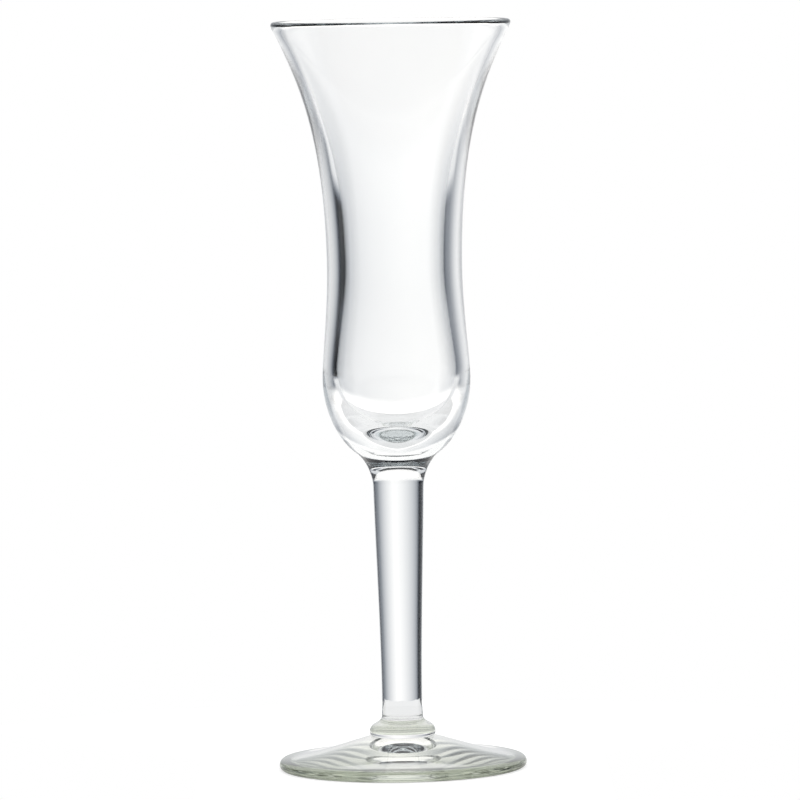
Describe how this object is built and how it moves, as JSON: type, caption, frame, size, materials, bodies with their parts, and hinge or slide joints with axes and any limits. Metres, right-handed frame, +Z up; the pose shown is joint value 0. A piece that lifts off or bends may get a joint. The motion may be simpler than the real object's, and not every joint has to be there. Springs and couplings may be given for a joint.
{
  "type": "cordial glass",
  "caption": "Tall cordial glass with a bell shaped bowl that narrows to a waist, a beaded rim, a slender solid stem, a small collar and a domed round foot.",
  "frame": {"origin": "centre of the foot on the surface it stands on", "axes": "+Z up along the axis of the glass, from the foot to the rim; the glass is round, so X and Y are free"},
  "size_m": [0.0546, 0.0546, 0.165],
  "materials": {
    "clear_glass": "fire polished, clear, faint green in thick places"
  },
  "bodies": {
    "root": {"foot": "clear_glass", "collar": "clear_glass", "stem": "clear_glass", "bowl": "clear_glass"}
  },
  "joints": []
}
